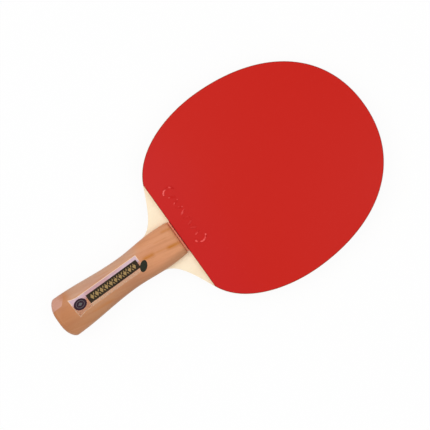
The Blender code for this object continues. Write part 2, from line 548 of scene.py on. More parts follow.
@dataclass(frozen=True)
class GripWood:
    """Varnished reddish wood with slanting growth lines, fibres and pores.

    On the front scale it also carries painted light and shade.

    A step is a pair of places on the grip, or of heights of a noise, between which a
    mask goes from 0 to 1.
    """

    name: str
    pale: Colour = screen(204, 141, 98)
    rosy: Tint = Tint(screen(194, 129, 94))
    clouds: Clouds = Clouds(110.0, 24.0)
    cloud_step: Step = (0.38, 0.66)
    warm: Tint = Tint(screen(177, 112, 66), 0.65)
    butt_step: Step = (0.030, 0.004)
    neck: Tint = Tint(screen(215, 148, 105), 0.75)
    neck_step: Step = (0.058, 0.084)
    # Painted sheen: the left side of the front scale is made lighter and whiter, as a sheen would.
    painted_left_sheen: Tint = Tint(screen(196, 177, 162), 0.36)
    sheen_side_step: Step = (-0.0055, -0.0090)
    sheen_butt_step: Step = (0.012, 0.020)
    sheen_neck_step: Step = (0.078, 0.066)
    # Painted shade down the right side of the front scale, kept to its edge near the neck.
    shade: Tint = Tint(screen(158, 116, 82), 0.55)
    shade_step: Step = (-0.0020, 0.0090)
    shade_neck_step: Step = (0.0070, 0.0115)
    shade_butt_share: float = 0.5
    # Painted highlight on the left butt facet, pale pink where light would glance off it.
    left_facet_sheen: Tint = Tint(screen(212, 164, 152), 0.6)
    left_step: Step = (0.015, 0.008)
    # Painted light that lifts the right butt facet out of its shade.
    right_facet_light: Tint = Tint(screen(205, 150, 118), 0.15)
    fleck: Tint = Tint(screen(170, 104, 60), 0.14)
    flecks: Clouds = Clouds(700.0, 40.0)
    fleck_step: Step = (0.42, 0.72)
    ring: Tint = Tint(screen(170, 104, 60), 0.14)
    pith: Place = (0.052, -0.040)
    ring_spacing: float = 0.0046
    ring_sharpness: float = 5.0
    ring_depth: float = 0.1
    slant: float = math.radians(-11)
    sway: Clouds = Clouds(40.0, 22.0)
    sway_reach: float = 0.006
    streak: Colour = screen(186, 112, 32)
    streaks: tuple[Streak, ...] = ()
    pore: Tint = Tint(screen(132, 84, 56), 0.16)
    pores: Clouds = Clouds(2200.0, 170.0, 1.0)
    pore_depth: float = 0.6
    fibres: Clouds = Clouds(2400.0, 60.0, 3.0, 0.7)
    relief: float = 0.00002
    roughness: float = 0.34
    roughness_spread: float = 0.12

    def make(self) -> bpy.types.Material:
        """Return the material: the grip's zones of colour with rings, streaks and pores.

        Some of the zones are painted light and shade.
        """
        recipe = Coating(self.name)
        lie = recipe.coordinates(turn=self.slant)
        sway = self.sway_reach * (recipe.noise(lie, self.sway) - 0.5)
        rings = self.rings(recipe, lie, sway)
        fibres = recipe.noise(lie, self.fibres)
        flecks = recipe.noise(lie, self.flecks).step(*self.fleck_step)
        pores = recipe.noise(lie, self.pores).step(*PORE_STEP)
        colour = recipe.layered(self.pale, self.zones(recipe, lie))
        colour = recipe.layered(colour, [(flecks, self.fleck), (rings, self.ring)])
        for streak in self.streaks:
            colour = recipe.mix(streak.mask(recipe, sway), colour, self.streak)
        relief = (1 - self.pore_depth) * fibres - self.pore_depth * pores - self.ring_depth * rings
        return recipe.finish(
            Base_Color=recipe.layered(colour, [(pores, self.pore)]),
            Roughness=self.roughness + self.roughness_spread * fibres,
            Normal=recipe.bump(relief, self.relief),
            Specular_IOR_Level=0.2,
            Coat_Weight=0.12,
            Coat_Roughness=0.2,
        )

    def rings(self, recipe: Coating, lie: Signal, sway: Signal) -> Signal:
        """Return the growth rings, which run round a pith beside the racket.

        Args:
            recipe: The wood's recipe.
            lie: The coordinates along the grain.
            sway: How far the grain wanders sideways, in metres.

        Returns:
            The rings' mask.
        """
        across = recipe.axis(lie, "X") - self.pith[0] + sway
        up = recipe.axis(lie, "Z") - self.pith[1]
        radius = (across ** 2.0 + up ** 2.0) ** 0.5
        return (radius / self.ring_spacing).wave() ** self.ring_sharpness

    def zones(self, recipe: Coating, lie: Signal) -> list[tuple[Signal, Tint]]:
        """Return the parts of the grip that differ in colour.

        Besides tone along the grip, they hold a painted sheen down the left side, painted
        shade down the right side, a painted highlight on the left butt facet and painted
        light on the right one.

        Args:
            recipe: The wood's recipe.
            lie: The coordinates along the grain.

        Returns:
            Each part's mask and its tint, from the lowest layer up.
        """
        side = recipe.axis(recipe.coordinates(), "X")
        along = recipe.axis(recipe.coordinates(), "Y")
        clouds = recipe.noise(lie, self.clouds).step(*self.cloud_step)
        butt, neck = along.step(*self.butt_step), along.step(*self.neck_step)
        # Where the painted sheen on the left side reaches along the grip.
        painted_left_sheen = along.step(*self.sheen_butt_step) * along.step(*self.sheen_neck_step)
        # Painted shade on the right side; nearer the neck it keeps to the edge.
        shade = side.step(*self.shade_step) * (1 - neck) + side.step(*self.shade_neck_step) * neck
        # Painted highlight on the left butt facet, near the butt only.
        left = LEFT_FACET.mask(-1.0 * side, along) * along.step(*self.left_step)
        return [
            (clouds, self.rosy),
            (butt, self.warm),
            (neck, self.neck),
            (side.step(*self.sheen_side_step) * painted_left_sheen, self.painted_left_sheen),
            (shade * (1 - self.shade_butt_share * butt), self.shade),
            (left, self.left_facet_sheen),
            # Painted light on the right butt facet.
            (RIGHT_FACET.mask(side, along), self.right_facet_light),
        ]


@dataclass(frozen=True)
class SheetRubber:
    """A smooth moulded rubber sheet with a fine matt grain and polished raised marks.

    The raised marks carry painted glints, and the rounded rim carries painted shade.
    """

    name: str
    colour: Colour
    near_cut: Tint
    # The rim tint is painted shade on the sheet's rounded rim.
    rim: Tint
    # The glint tint is painted highlight on the raised marks, in patches.
    painted_glint: Tint
    dust: Tint
    clouds: Clouds = Clouds(16.0, 16.0, 3.0)
    cut_step: Step = (0.150, 0.106)
    cut_wander: float = 0.03
    grain: Clouds = Clouds(5200.0, 5200.0)
    relief: float = 0.000008
    dust_cells: float = 420.0
    dust_step: Step = (0.11, 0.05)
    raised_step: Step = (SHEET_HIGH.z + 0.00002, SHEET_HIGH.z + 0.00008)
    patches: Clouds = Clouds(330.0, 330.0, 1.0)
    patch_step: Step = (0.40, 0.56)
    # Between these places the painted glints fade out, along the middle of the ornament.
    glint_fade_left: Step = (-0.014, -0.010)
    glint_fade_right: Step = (0.008, 0.004)
    worn_share: float = 0.85
    # The band of the rounded rim that takes the painted shade.
    rim_shade_top: Step = (SHEET_HIGH.z - 0.00001, SHEET_HIGH.z - 0.00006)
    rim_shade_foot: Step = (SHEET_HIGH.z - 0.0006, SHEET_HIGH.z - 0.0005)
    roughness: float = 0.40
    cloud_roughness: float = 0.14
    grain_roughness: float = 0.08
    polish_gloss: float = 0.45
    polish_coat: float = 0.4

    def make(self) -> bpy.types.Material:
        """Return the material, a little cooler in colour towards the cut.

        It paints glints on the raised marks and shade on the rounded rim.
        """
        recipe = Coating(self.name)
        lie = recipe.coordinates()
        side, along, height = (recipe.axis(lie, name) for name in "XYZ")
        clouds, grain = recipe.noise(lie, self.clouds), recipe.noise(lie, self.grain)
        near = (along + self.cut_wander * (clouds - 0.5)).step(*self.cut_step)
        dust = recipe.cells(lie, self.dust_cells).step(*self.dust_step)
        # Fewer painted glints along the middle of the ornament.
        worn = self.worn_share * side.step(*self.glint_fade_left) * side.step(*self.glint_fade_right)
        patches = recipe.noise(lie, self.patches).step(*self.patch_step)
        # Polish of the raised marks in patches: it makes them glossier and carries the painted
        # glints.
        polish_and_glint = height.step(*self.raised_step) * patches * (1 - worn)
        # Painted shade on the band of the rounded rim, on either face.
        reach = height.most(-1.0 * height)
        edge = reach.step(*self.rim_shade_top) * reach.step(*self.rim_shade_foot)
        layers = [(near, self.near_cut), (edge, self.rim), (polish_and_glint, self.painted_glint), (dust, self.dust)]
        matt = self.cloud_roughness * (clouds - 0.5) + self.grain_roughness * (grain - 0.5)
        return recipe.finish(
            Base_Color=recipe.layered(self.colour, layers),
            Roughness=(self.roughness + matt) * (1 - self.polish_gloss * polish_and_glint),
            Coat_Weight=self.polish_coat * polish_and_glint,
            Coat_Roughness=0.3,
            Normal=recipe.bump(grain, self.relief),
            Specular_IOR_Level=0.09,
        )


@dataclass(frozen=True)
class Foam:
    """Fine cellular rubber with open pores on its cut edge."""

    name: str
    colour: Colour
    pore: Colour
    fine_pores: float = 3600.0
    fine_step: Step = (0.42, 0.18)
    fine_share: float = 0.7
    large_pores: float = 1200.0
    large_step: Step = (0.30, 0.16)
    large_share: float = 0.5
    pore_share: float = 0.75
    relief: float = 0.00008

    def make(self) -> bpy.types.Material:
        """Return the material."""
        recipe = Coating(self.name)
        lie = recipe.coordinates()
        fine = recipe.cells(lie, self.fine_pores).step(*self.fine_step)
        large = recipe.cells(lie, self.large_pores).step(*self.large_step)
        holes = (self.fine_share * fine + self.large_share * large).limited()
        return recipe.finish(
            Base_Color=recipe.mix(self.pore_share * holes, self.colour, self.pore),
            Roughness=0.9,
            Normal=recipe.bump(1 - holes, self.relief),
            Specular_IOR_Level=0.2,
        )


@dataclass(frozen=True)
class Print:
    """A coat of printing ink with slight mottling and rubbed spots."""

    name: str
    colour: Colour
    worn: Colour
    roughness: float = 0.35
    roughness_spread: float = 0.2
    mottle: Clouds = Clouds(900.0, 900.0, 3.0)
    mottle_step: Step = (0.3, 0.8)
    rubbed: Clouds = Clouds(260.0, 120.0, 3.0, 0.7)
    rubbed_step: Step = (0.60, 0.78)
    worn_share: float = 0.4
    relief: float = 0.00001

    def make(self) -> bpy.types.Material:
        """Return the material."""
        recipe = Coating(self.name)
        lie = recipe.coordinates()
        mottle = recipe.noise(lie, self.mottle)
        rubbed = recipe.noise(lie, self.rubbed).step(*self.rubbed_step)
        worn = self.worn_share * (mottle.step(*self.mottle_step) + rubbed)
        return recipe.finish(
            Base_Color=recipe.mix(worn, self.colour, self.worn),
            Roughness=self.roughness + self.roughness_spread * mottle,
            Normal=recipe.bump(mottle, self.relief),
            Specular_IOR_Level=0.15,
        )


@dataclass(frozen=True)
class PearlFilm:
    """A thin film that is milky along its left side and clears to the right.

    The milky side is partly the film's pearly print and partly painted reflection. Thin light
    lines along its edges and a strip near its right side are painted highlights.

    Its steps are shares of its width, from the left, and of its length, from the butt.
    """

    name: str
    pearl: Colour = screen(216, 184, 196)
    blush: Colour = screen(208, 160, 164)
    bands: Clouds = Clouds(70.0, 45.0)
    band_step: Step = (0.42, 0.64)
    band_reach: float = 0.2
    clear_step: Step = (0.50, 0.28)
    clear_alpha: float = 0.06
    milky_alpha: float = 0.78
    # The colour of the painted highlights along the film's edges and in its strip.
    edge: Colour = screen(244, 210, 178)
    rim_side_step: Step = (0.050, 0.020)
    rim_end_step: Step = (0.012, 0.004)
    rim_alpha: float = 0.38
    strip_side_step: Step = (0.78, 0.82)
    strip_end_step: Step = (0.16, 0.22)
    strip_alpha: float = 0.26
    grain: Clouds = Clouds(1500.0, 1500.0)
    relief: float = 0.000006
    roughness: float = 0.22
    roughness_spread: float = 0.1

    def make(self) -> bpy.types.Material:
        """Return the material, see-through where the film is clear."""
        recipe = Coating(self.name)
        lie = recipe.coordinates()
        place = recipe.node("ShaderNodeUVMap", {"uv_map": FILM_MAP})
        across, along = recipe.axis(place, "X"), recipe.axis(place, "Y")
        bands, grain = recipe.noise(lie, self.bands), recipe.noise(lie, self.grain)
        # Painted highlight lines along the film's edges.
        sides = (across * (1 - across)).step(*self.rim_side_step)
        rim = sides.most((along * (1 - along)).step(*self.rim_end_step))
        # A painted highlight strip near the film's right side.
        strip = across.step(*self.strip_side_step) * along.step(*self.strip_end_step)
        pearl = recipe.mix(bands.step(*self.band_step), self.pearl, self.blush)
        # The milky left side: pearly print, and partly painted reflection.
        milky = (across + self.band_reach * (bands - 0.5)).step(*self.clear_step)
        film = self.clear_alpha + self.milky_alpha * milky
        return recipe.finish(
            Base_Color=recipe.mix(rim.most(strip), pearl, self.edge),
            Roughness=self.roughness + self.roughness_spread * grain,
            Alpha=film.most(self.rim_alpha * rim).most(self.strip_alpha * strip),
            Normal=recipe.bump(grain, self.relief),
        )


@dataclass(frozen=True)
class StudioFloor:
    """A white floor that shows the object's shadow softly."""

    name: str = "studio_floor"
    colour: Colour = (0.92, 0.92, 0.92)
    glow: float = 0.93

    def make(self) -> bpy.types.Material:
        """Return the material, mixed with plain white where it is looked at."""
        recipe = Coating(self.name)
        white = recipe.node("ShaderNodeEmission", inputs={"Color": WHITE, "Strength": 1.0})
        recipe.finish(Base_Color=self.colour, Roughness=0.9, Specular_IOR_Level=0.0)
        inputs = {
            "Fac": self.glow * recipe.looking(),
            "Shader": Signal(recipe, recipe.shader.outputs[0]),
            "Shader_001": white,
        }
        mixed = recipe.node("ShaderNodeMixShader", inputs=inputs)
        output = next(n for n in recipe.tree.nodes if n.bl_idname == "ShaderNodeOutputMaterial")
        recipe.feed(output, "Surface", mixed)
        return recipe.material


# Mesh helpers

def new_object(name: str, data: bpy.types.ID) -> bpy.types.Object:
    """Make an object and link it to the scene.

    Args:
        name: The object's name.
        data: Its mesh, curve, light or camera.

    Returns:
        The object.
    """
    made = bpy.data.objects.new(name, data)
    bpy.context.scene.collection.objects.link(made)
    return made


def mesh_object(
    name: str, bm: bmesh.types.BMesh, material: bpy.types.Material
) -> bpy.types.Object:
    """Make an object of a mesh.

    Args:
        name: The object's name.
        bm: The mesh, which is freed.
        material: Its material.

    Returns:
        The object.
    """
    mesh = bpy.data.meshes.new(name)
    bm.to_mesh(mesh)
    bm.free()
    mesh.materials.append(material)
    return new_object(name, mesh)


def at(place: Place | Vector) -> Matrix:
    """Return the move to a place in the plane."""
    return Matrix.Translation((*place, 0.0))


def flat_size(width: float, length: float) -> Matrix:
    """Return the stretch that gives a flat shape its width and its length."""
    return Matrix.Diagonal((width, length, 1.0, 1.0))


def outline_face(knots: list[Knot], steps: int) -> bmesh.types.BMesh:
    """Return one flat face inside a closed Bezier outline.

    Args:
        knots: For each point of the outline its place and its two handles' places.
        steps: How many edges lie between two points.

    Returns:
        A mesh with the face, at Z = 0.
    """
    curve = bpy.data.curves.new("outline", "CURVE")
    curve.dimensions = "2D"
    curve.fill_mode = "NONE"
    curve.resolution_u = steps
    spline = curve.splines.new("BEZIER")
    spline.bezier_points.add(len(knots) - 1)
    for point, (before, place, after) in zip(spline.bezier_points, knots):
        point.handle_left_type = "FREE"
        point.handle_right_type = "FREE"
        point.handle_left = before.to_3d()
        point.co = place.to_3d()
        point.handle_right = after.to_3d()
    spline.use_cyclic_u = True
    guide = new_object("outline", curve)
    depsgraph = bpy.context.evaluated_depsgraph_get()
    mesh = bpy.data.meshes.new_from_object(guide.evaluated_get(depsgraph))
    bpy.data.objects.remove(guide, do_unlink=True)
    bm = bmesh.new()
    bm.from_mesh(mesh)
    bmesh.ops.remove_doubles(bm, verts=bm.verts, dist=MERGE)
    bmesh.ops.contextual_create(bm, geom=bm.edges[:])
    bmesh.ops.dissolve_limit(bm, angle_limit=STRAIGHT, verts=bm.verts, edges=bm.edges)
    return bm


def trim(bm: bmesh.types.BMesh, margin: float) -> None:
    """Cut a margin off all round a flat face.

    Args:
        bm: The mesh with the face.
        margin: How wide the margin is.
    """
    rim = bmesh.ops.inset_region(
        bm, faces=bm.faces[:], thickness=margin, use_boundary=True, use_even_offset=True
    )
    bmesh.ops.delete(bm, geom=rim["faces"], context="FACES")


def slab(bm: bmesh.types.BMesh, low: float, high: float) -> None:
    """Make a flat face a slab.

    Args:
        bm: The mesh with the face, at Z = 0.
        low: The slab's lower height.
        high: The slab's upper height.
    """
    bmesh.ops.translate(bm, verts=bm.verts, vec=(0.0, 0.0, low))
    made = bmesh.ops.extrude_face_region(bm, geom=bm.faces[:], use_keep_orig=True)
    raised = [item for item in made["geom"] if isinstance(item, bmesh.types.BMVert)]
    bmesh.ops.translate(bm, verts=raised, vec=(0.0, 0.0, high - low))
    bmesh.ops.recalc_face_normals(bm, faces=bm.faces)


def ease_edges(bm: bmesh.types.BMesh, height: float, radius: float, segments: int = 3) -> None:
    """Round the edges of a slab that lie at one height.

    Args:
        bm: The slab.
        height: The height of the edges.
        radius: How far the rounding reaches.
        segments: How many facets it has.
    """
    edges = [e for e in bm.edges if all(abs(v.co.z - height) < MERGE for v in e.verts)]
    bmesh.ops.bevel(
        bm,
        geom=edges,
        offset=radius,
        segments=segments,
        profile=0.5,
        affect="EDGES",
        material=-1,
        clamp_overlap=True,
    )


def pour(source: bmesh.types.BMesh, target: bmesh.types.BMesh) -> None:
    """Add one mesh to another.

    Args:
        source: The mesh to add, which is freed.
        target: The mesh that it is added to.
    """
    spare = bpy.data.meshes.new("spare")
    source.to_mesh(spare)
    source.free()
    target.from_mesh(spare)
    bpy.data.meshes.remove(spare)


def flip_over(bm: bmesh.types.BMesh) -> None:
    """Turn a mesh over to the back, half a turn about Y."""
    half_turn = Matrix.Rotation(math.pi, 3, "Y")
    bmesh.ops.rotate(bm, verts=bm.verts, cent=(0.0, 0.0, 0.0), matrix=half_turn)


def finish_piece(
    name: str,
    bm: bmesh.types.BMesh,
    material: bpy.types.Material,
    nodes: tuple[str, ...] = (),
) -> None:
    """Make a dressed object of a mesh and let it ride on the racket.

    Args:
        name: The piece's name.
        bm: Its mesh, in place, which is freed.
        material: Its material.
        nodes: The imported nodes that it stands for.
    """
    piece = mesh_object(name, bm, material)
    piece.data.shade_smooth()
    piece.data.set_sharp_from_angle(angle=SMOOTH_ANGLE)
    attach(piece, BODY)
    if nodes:
        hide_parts(*nodes)
    LOG.info("%s: %d faces", name, len(piece.data.polygons))


# Shapes that several pieces share

@dataclass(frozen=True)
class GripShape:
    """The flared grip: its half width and its crown's height at each place along it."""

    length: float = SCALE_HIGH.y
    butt_width: float = 2 * SCALE_HIGH.x
    waist_width: float = 0.0245
    neck_width: float = 0.0277
    waist_y: float = 0.0585
    butt_corner: Place = (0.0100, 0.0060)
    butt_corner_power: float = 1.7
    neck_corner: Place = (0.0013, 0.0150)
    butt_height: float = SCALE_HIGH.z - SCALE_LOW.z
    waist_height: float = 0.0083
    neck_height: float = 0.0087
    butt_bevel: Place = (0.0022, 0.0030)
    neck_bevel: Place = (0.0030, 0.0034)
    wall: float = 0.0016
    crown_power: float = 2.7
    facet_slope: float = math.tan(math.radians(30))

    @staticmethod
    def ease(start: float, end: float, share: float) -> float:
        """Return a value between two that leaves the first and meets the second level.

        Args:
            start: The first value.
            end: The second value.
            share: The share of the way between them.

        Returns:
            The value at that share.
        """
        share = min(max(share, 0.0), 1.0)
        return start + (end - start) * (1 - math.cos(math.pi * share)) / 2

    @staticmethod
    def rounding(distance: float, corner: Place, power: float = 2.0) -> float:
        """Return how far a rounded corner draws a size in.

        Args:
            distance: The distance from the grip's end.
            corner: The corner's depth and its length along the grip.
            power: 2 for a quarter ellipse, and less for a straighter corner.

        Returns:
            The depth at that distance.
        """
        depth, length = corner
        share = 1 - distance / length
        return depth * (1 - max(1 - share ** power, 0.0) ** (1 / power)) if share > 0 else 0.0

    def along(self, butt: float, waist: float, neck: float, y: float) -> float:
        """Return a size that eases from the butt to the waist and the neck.

        Args:
            butt: The size at the butt.
            waist: The size at the waist.
            neck: The size at the neck.
            y: The place along the grip.

        Returns:
            The size at that place.
        """
        butt_y = self.butt_corner[1]
        neck_y = self.length - self.neck_corner[1]
        if y <= self.waist_y:
            return self.ease(butt, waist, (y - butt_y) / (self.waist_y - butt_y))
        return self.ease(waist, neck, (y - self.waist_y) / (neck_y - self.waist_y))

    def half_width(self, y: float) -> float:
        """Return half the grip's width.

        Args:
            y: The place along the grip.

        Returns:
            Half the width there.
        """
        half = self.along(self.butt_width, self.waist_width, self.neck_width, y) / 2
        half -= self.rounding(y, self.butt_corner, self.butt_corner_power)
        return half - self.rounding(self.length - y, self.neck_corner)

    def height(self, y: float) -> float:
        """Return how high the crown stands over the blade.

        Args:
            y: The place along the grip.

        Returns:
            The height along its middle line there.
        """
        height = self.along(self.butt_height, self.waist_height, self.neck_height, y)
        height -= self.rounding(y, self.butt_bevel)
        return height - self.rounding(self.length - y, self.neck_bevel)

    def section(self, angle: float, y: float) -> Place:
        """Return the place across and the height of a point on the crown.

        Args:
            angle: How far round the crown the point is, from 0 at +X to pi at -X.
            y: Its place along the grip.

        Returns:
            Its X and its height over the blade.
        """
        power = 2 / self.crown_power
        across = math.copysign(abs(math.cos(angle)) ** power, math.cos(angle))
        rise = (self.height(y) - self.wall) * max(math.sin(angle), 0.0) ** power
        x = self.half_width(y) * across
        return x, min(self.wall + rise, self.facet(x, y))

    def facet(self, x: float, y: float) -> float:
        """Return the height of the slanting facet that eases each corner of the butt.

        Args:
            x: The place across the grip.
            y: The place along it.

        Returns:
            The facet's height over the blade there.
        """
        past = (LEFT_FACET if x < 0 else RIGHT_FACET).past(abs(x), y)
        return max(self.height(y) - max(past, 0.0) * self.facet_slope, self.wall)

    def surface(self, x: float, y: float) -> float:
        """Return the crown's height over the blade at a place.

        Args:
            x: The place across the grip.
            y: The place along it.

        Returns:
            The height.
        """
        share = min(abs(x) / self.half_width(y), 1.0)
        crown = (1 - share ** self.crown_power) ** (1 / self.crown_power)
        return min(self.wall + (self.height(y) - self.wall) * crown, self.facet(x, y))


@dataclass(frozen=True)
class HeadShape:
    """The head's egg-shaped outline and the curve of the throat down into the grip.

    The reaches are the lengths of the outline's handles. The shoulder, the widest place
    and the throat are counted from the grip's end on the blade.
    """

    shoulder: Place = (0.0434, SCALE_HIGH.y + 0.0014)
    widest: Place = (BLADE_HIGH.x, SCALE_HIGH.y + 0.0686)
    top_y: float = BLADE_HIGH.y
    shoulder_angle: float = math.radians(24.0)
    throat_y: float = SCALE_HIGH.y - 0.0218
    top_reach: float = 0.0480
    side_reach_up: float = 0.0537
    side_reach_down: float = 0.0276
    corner_reach: float = 0.0234
    throat_reach: float = 0.0185
    neck_reach: float = 0.0100
    steps: int = 40
    rubber_trim: float = 0.0003

    def shoulder_way(self) -> Vector:
        """Return the way that the outline runs through the shoulder."""
        return Vector((math.cos(self.shoulder_angle), math.sin(self.shoulder_angle)))

    def head_knots(self) -> list[Knot]:
        """Return the right half of the head, each point between its two handles."""
        corner, widest, top = Vector(self.shoulder), Vector(self.widest), Vector((0.0, self.top_y))
        down = Vector((0.0, -self.side_reach_down))
        up = Vector((0.0, self.side_reach_up))
        right = Vector((self.top_reach, 0.0))
        return [
            (corner, corner, corner + self.shoulder_way() * self.corner_reach),
            (widest + down, widest, widest + up),
            (top + right, top, top - right),
        ]

    @staticmethod
    def mirrored(right: list[Knot]) -> list[Knot]:
        """Return a whole outline from its right half.

        Args:
            right: The right half's points, counterclockwise, the last on the middle line.

        Returns:
            The right half and its mirror image.
        """
        left = [
            tuple(Vector((-point.x, point.y)) for point in reversed(knot))
            for knot in reversed(right[:-1])
        ]
        return right + left

    def rubber_face(self) -> bmesh.types.BMesh:
        """Return a flat face of a rubber's outline."""
        bm = outline_face(self.mirrored(self.head_knots()), self.steps)
        trim(bm, self.rubber_trim)
        return bm

    def blade_face(self, grip: GripShape, stations: int) -> bmesh.types.BMesh:
        """Return a flat face of the blade's outline.

        Args:
            grip: The grip's shape, which the tang follows.
            stations: How many places along the tang it is measured at.

        Returns:
            The face.
        """
        shares = [1 - math.cos(math.pi / 2 * i / stations) for i in range(stations)]
        tang = [Vector((grip.half_width(y), y)) for y in (self.throat_y * s for s in shares)]
        throat = Vector((grip.half_width(self.throat_y), self.throat_y))
        neck_arm = (throat - tang[-1]).normalized() * self.neck_reach
        head = self.head_knots()
        _, corner, after = head[0]
        head[0] = (corner - self.shoulder_way() * self.throat_reach, corner, after)
        straight = [(place, place, place) for place in tang]
        right = straight + [(throat, throat, throat + neck_arm)] + head
        return outline_face(self.mirrored(right), self.steps)


class Rim:
    """A closed flat outline that can be asked for its nearest point."""

    def __init__(self, points: list[Vector]) -> None:
        """Keep an outline's points counterclockwise and sort them for the search.

        Args:
            points: The outline's points, in either direction.
        """
        area = sum(a.x * b.y - b.x * a.y for a, b in zip(points, points[1:] + points[:1]))
        self.points = points if area > 0 else points[::-1]
        self.tree = KDTree(len(points))
        for index, point in enumerate(self.points):
            self.tree.insert(point.to_3d(), index)
        self.tree.balance()

    def nearest(self, place: Vector) -> tuple[Vector, list[Vector]]:
        """Return the outline's point that is nearest to a place.

        Args:
            place: The place.

        Returns:
            The point, and the ways out across its two edges.
        """
        index = self.tree.find(place.to_3d())[1]
        before, point = self.points[index - 1], self.points[index]
        after = self.points[(index + 1) % len(self.points)]
        edges = (point - before, after - point)
        return point, [Vector((edge.y, -edge.x)).normalized() for edge in edges]


# Sub-assemblies

@dataclass
class Blade:
    """Five veneers glued crosswise: a core, and a cross ply and a face ply on each side."""

    head: HeadShape
    grip: GripShape
    tang_stations: int = 40
    face_edge: float = 0.00022
    inner_edge: float = 0.00005
    core: Veneer = Veneer("core_wood", screen(232, 208, 168), screen(206, 172, 124), Grain.ALONG)
    cross: Veneer = Veneer("cross_wood", screen(206, 168, 118), screen(170, 126, 80), Grain.ACROSS)
    face: Veneer = Veneer(
        "face_wood",
        screen(254, 238, 209),
        screen(246, 226, 193),
        Grain.ALONG,
        bands=Clouds(1 / 0.009, 6.0, 3.0),
    )

    def build(self) -> None:
        """Build and dress the five veneers."""
        core, cross, face = self.core.make(), self.cross.make(), self.face.make()
        self.ply("core_ply", "blade_core_ply", core, None)
        for side in Face:
            node = f"blade_{side.word}_cross_ply"
            self.ply(f"{side.word}_cross_ply", node, cross, None)
            node = f"blade_{side.word}_face_ply"
            self.ply(f"{side.word}_face_ply", node, face, side)

    def ply(
        self,
        name: str,
        node: str,
        material: bpy.types.Material,
        outer: Face | None,
    ) -> None:
        """Build one veneer where its node lies.

        Args:
            name: The piece's name.
            node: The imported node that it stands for.
            material: Its wood.
            outer: The face of the racket that its sanded edge is on, if it has one.
        """
        low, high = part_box(node)
        bm = self.head.blade_face(self.grip, self.tang_stations)
        slab(bm, low.z, high.z)
        top = self.face_edge if outer is Face.FRONT else self.inner_edge
        bottom = self.face_edge if outer is Face.BACK else self.inner_edge
        ease_edges(bm, high.z, top)
        ease_edges(bm, low.z, bottom)
        finish_piece(name, bm, material, (node,))


@dataclass
class Grip:
    """Two wooden scales, each a flared half of the grip."""

    shape: GripShape
    around: int = 48
    stations: int = 120
    front_wood: GripWood = GripWood(
        "grip_wood",
        streaks=(
            Streak((-0.0014, 0.0730), (-0.0001, 0.0825), 0.0028, 0.85),
            Streak((-0.0002, 0.0820), (0.0021, 0.0935), 0.0014, 0.35),
            Streak((0.0020, 0.0915), (0.0038, 0.1015), 0.0026, 0.90),
            Streak((-0.0094, 0.0940), (-0.0080, 0.1018), 0.0022, 0.50),
            Streak((-0.0062, 0.0850), (-0.0040, 0.0960), 0.0009, 0.20),
            Streak((0.0082, 0.0240), (0.0096, 0.0400), 0.0022, 0.30),
            Streak((-0.0102, 0.0400), (-0.0090, 0.0500), 0.0010, 0.25),
        ),
    )
    # The back scale has no painted sheen and no painted shade.
    back_wood: GripWood = GripWood(
        "grip_wood_back", painted_left_sheen=NO_TINT, shade=NO_TINT, pith=(-0.060, 0.030)
    )

    def build(self) -> None:
        """Build and dress the two scales."""
        self.scale(Face.FRONT, self.front_wood.make())
        self.scale(Face.BACK, self.back_wood.make())

    def scale(self, side: Face, material: bpy.types.Material) -> None:
        """Build one scale from a grid that is wrapped round its section.

        Args:
            side: The face of the blade that it is glued to.
            material: Its wood.
        """
        node = f"handle_{side.word}_scale"
        foot = min(abs(corner.z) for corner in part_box(node))
        bm = bmesh.new()
        bmesh.ops.create_grid(bm, x_segments=self.around + 3, y_segments=self.stations, size=1.0)
        for vert in bm.verts:
            step = round((vert.co.x + 1) / 2 * (self.around + 3))
            y = self.shape.length * (1 - math.cos(math.pi * (vert.co.y + 1) / 2)) / 2
            vert.co = self.wrapped(step, y)
        bmesh.ops.remove_doubles(bm, verts=bm.verts, dist=MERGE)
        ends = [edge for edge in bm.edges if edge.is_boundary]
        bmesh.ops.holes_fill(bm, edges=ends, sides=0)
        bmesh.ops.translate(bm, verts=bm.verts, vec=(0.0, 0.0, foot))
        if side is Face.BACK:
            flip_over(bm)
        bmesh.ops.recalc_face_normals(bm, faces=bm.faces)
        finish_piece(f"{side.word}_grip_scale", bm, material, (node,))

    def wrapped(self, step: int, y: float) -> Vector:
        """Return where a point of the grid lies on the scale.

        Args:
            step: The point's step round the section: the foot's two corners are the first
                and the last but one, and the last is the first again.
            y: Its place along the grip.

        Returns:
            Its place, with the foot at Z = 0.
        """
        half = self.shape.half_width(y)
        if step in (0, self.around + 3):
            return Vector((half, y, 0.0))
        if step == self.around + 2:
            return Vector((-half, y, 0.0))
        x, z = self.shape.section(math.pi * (step - 1) / self.around, y)
        return Vector((x, y, z))


